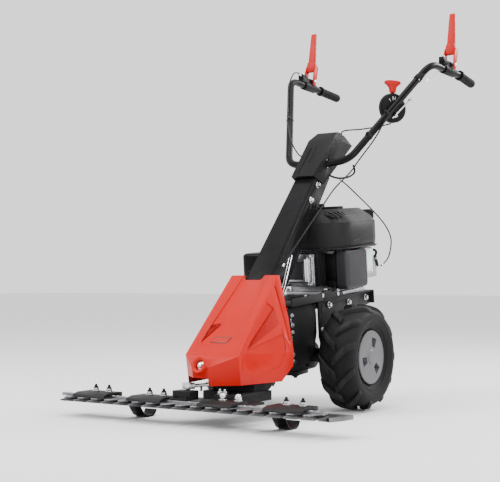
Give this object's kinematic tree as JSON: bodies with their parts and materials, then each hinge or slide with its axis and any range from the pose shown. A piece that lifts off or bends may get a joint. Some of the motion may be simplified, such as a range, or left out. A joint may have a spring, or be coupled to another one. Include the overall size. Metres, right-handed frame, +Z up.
{
  "type": "walk-behind brush mower",
  "caption": "Two-wheeled walk-behind mower with a sickle finger bar across the front, a sloping column, handlebars with hand levers and an engine behind.",
  "frame": {"origin": "on the ground under the middle of the machine's length and width", "axes": "+Z up, the finger bar at the front towards -Y, +X towards the machine's own left-hand side"},
  "size_m": [0.95, 1.4048, 1.35],
  "materials": {
    "red_shell": "moulded, satin gloss",
    "red_plastic": "moulded, satin",
    "black_steel": "satin black powder coat",
    "black_cast": "black painted casting",
    "blade_steel": "hardened steel, ground edges",
    "zinc_steel": "zinc plated",
    "engine_alloy": "die cast",
    "black_alloy": "black painted die casting",
    "black_plastic": "textured",
    "filter_grey": "fine texture",
    "grey_plastic": "smooth",
    "tank_plastic": "blow moulded, slightly see-through",
    "black_rubber": "matt",
    "tyre_rubber": "matt, moulded lugs"
  },
  "bodies": {
    "chassis": {"finger_bar": "blade_steel", "knife_clip_right": "black_steel", "knife_clip_middle": "black_steel", "knife_clip_left": "black_steel", "skid_left": "black_steel", "skid_right": "black_steel", "bar_carrier": "black_steel", "knife_drive_case": "black_steel", "front_cover": "red_shell", "gear_case": "black_cast", "sump_cover": "black_cast", "drive_belt": "black_rubber", "belt_guard": "black_plastic", "engine_frame": "black_steel", "column": "black_steel", "console_cover": "black_plastic", "handlebar_left": "black_steel", "handlebar_right": "black_steel", "grip_left": "black_rubber", "grip_right": "black_rubber", "lever_bracket_left": "black_plastic", "lever_bracket_right": "black_plastic", "selector_housing": "black_plastic", "engine_shroud": "black_plastic", "starter_cover": "black_plastic", "crankcase": "engine_alloy", "cylinder_fins": "black_alloy", "cylinder_head": "engine_alloy", "spark_plug_cap": "black_rubber", "air_filter_cover": "filter_grey", "air_filter_base": "black_plastic", "fuel_tank": "tank_plastic", "muffler": "black_steel", "clutch_cable": "black_rubber", "drive_cable": "black_rubber", "throttle_cable": "black_rubber", "selector_cable": "black_rubber"},
    "axle": {"axle": "zinc_steel", "worm_wheel": "zinc_steel"},
    "left_wheel": {"tyre_left": "tyre_rubber", "rim_left": "black_steel", "hub_cap_left": "grey_plastic"},
    "right_wheel": {"tyre_right": "tyre_rubber", "rim_right": "black_steel", "hub_cap_right": "grey_plastic"},
    "input_shaft": {"input_pulley": "zinc_steel"},
    "engine_crank": {"engine_pulley": "zinc_steel"},
    "belt_tensioner": {"tension_arm": "zinc_steel"},
    "knife_bar": {"knife": "blade_steel", "knife_head": "black_steel"},
    "swing_arm": {"swing_arm": "zinc_steel"},
    "knife_crank": {"knife_crank": "zinc_steel"},
    "lever_left": {"lever_left": "red_plastic"},
    "lever_right": {"lever_right": "red_plastic"},
    "selector": {"selector_knob": "red_plastic"},
    "throttle": {"throttle_lever": "black_steel"},
    "fuel_cap": {"fuel_cap": "black_plastic"},
    "oil_dipstick": {"oil_dipstick": "black_plastic"},
    "starter_grip": {"starter_grip": "black_plastic"}
  },
  "joints": [
    {"name": "axle_spin", "type": "hinge", "parent": "chassis", "child": "axle", "pos_m": [0, -0.07, 0.165], "axis": [1, 0, 0], "continuous": true},
    {"name": "left_wheel_spin", "type": "hinge", "parent": "chassis", "child": "left_wheel", "pos_m": [0.208, -0.07, 0.165], "axis": [1, 0, 0], "continuous": true},
    {"name": "right_wheel_spin", "type": "hinge", "parent": "chassis", "child": "right_wheel", "pos_m": [-0.208, -0.07, 0.165], "axis": [1, 0, 0], "continuous": true},
    {"name": "input_shaft_spin", "type": "hinge", "parent": "chassis", "child": "input_shaft", "pos_m": [0, -0.13189, 0.31016], "axis": [0, -0.0872, 0.9962], "continuous": true},
    {"name": "engine_crank_spin", "type": "hinge", "parent": "chassis", "child": "engine_crank", "pos_m": [0, 0.1062, 0.33099], "axis": [0, -0.0872, 0.9962], "continuous": true},
    {"name": "belt_tension", "type": "hinge", "parent": "chassis", "child": "belt_tensioner", "pos_m": [0.079, 0.07545, 0.33834], "axis": [0, 0.0872, -0.9962], "range_deg": [0, 14]},
    {"name": "knife_stroke", "type": "slide", "parent": "chassis", "child": "knife_bar", "axis": [1, 0, 0], "range_m": [0, 0.0508]},
    {"name": "swing_arm_turn", "type": "hinge", "parent": "chassis", "child": "swing_arm", "pos_m": [-0.026, -0.518, 0.11], "axis": [0, 0, 1], "range_deg": [0, 38.2]},
    {"name": "knife_crank_spin", "type": "hinge", "parent": "chassis", "child": "knife_crank", "pos_m": [0, -0.37, 0.147], "axis": [0, 0.9962, 0.0872], "continuous": true},
    {"name": "lever_left_squeeze", "type": "hinge", "parent": "chassis", "child": "lever_left", "pos_m": [0.28345, 0.49, 1.157], "axis": [-1, 0, 0], "range_deg": [0, 66], "stiffness_Nm_per_rad": 1.2, "springref_deg": -20.05},
    {"name": "lever_right_squeeze", "type": "hinge", "parent": "chassis", "child": "lever_right", "pos_m": [-0.28345, 0.49, 1.157], "axis": [-1, 0, 0], "range_deg": [0, 66], "stiffness_Nm_per_rad": 1.2, "springref_deg": -20.05},
    {"name": "selector_turn", "type": "hinge", "parent": "chassis", "child": "selector", "pos_m": [0.188, 0.23, 0.979], "axis": [0.8649, -0.502, 0], "range_deg": [-25, 25]},
    {"name": "throttle_turn", "type": "hinge", "parent": "chassis", "child": "throttle", "pos_m": [0.102, 0.26613, 0.47648], "axis": [1, 0, 0], "range_deg": [-20, 20]},
    {"name": "fuel_cap_turn", "type": "hinge", "parent": "chassis", "child": "fuel_cap", "pos_m": [0.094, 0.21971, 0.61697], "axis": [0, -0.0872, 0.9962], "range_deg": [0, 90]},
    {"name": "dipstick_turn", "type": "hinge", "parent": "chassis", "child": "oil_dipstick", "pos_m": [-0.058, 0.16268, 0.5116], "axis": [0, -0.0872, 0.9962], "range_deg": [0, 90]},
    {"name": "starter_pull", "type": "slide", "parent": "chassis", "child": "starter_grip", "axis": [0, 0.9962, 0.0872], "range_m": [0, 0.038], "stiffness_N_per_m": 60, "springref_m": -0.02}
  ],
  "couplings": [
    {"joint": "swing_arm_turn", "follows": "knife_stroke", "rad_per_m": 13.06},
    {"joint": "axle_spin", "follows": "input_shaft_spin", "ratio": 0.071429},
    {"joint": "knife_crank_spin", "follows": "input_shaft_spin", "ratio": 1},
    {"joint": "belt_tension", "follows": "lever_left_squeeze", "ratio": 0.21}
  ]
}
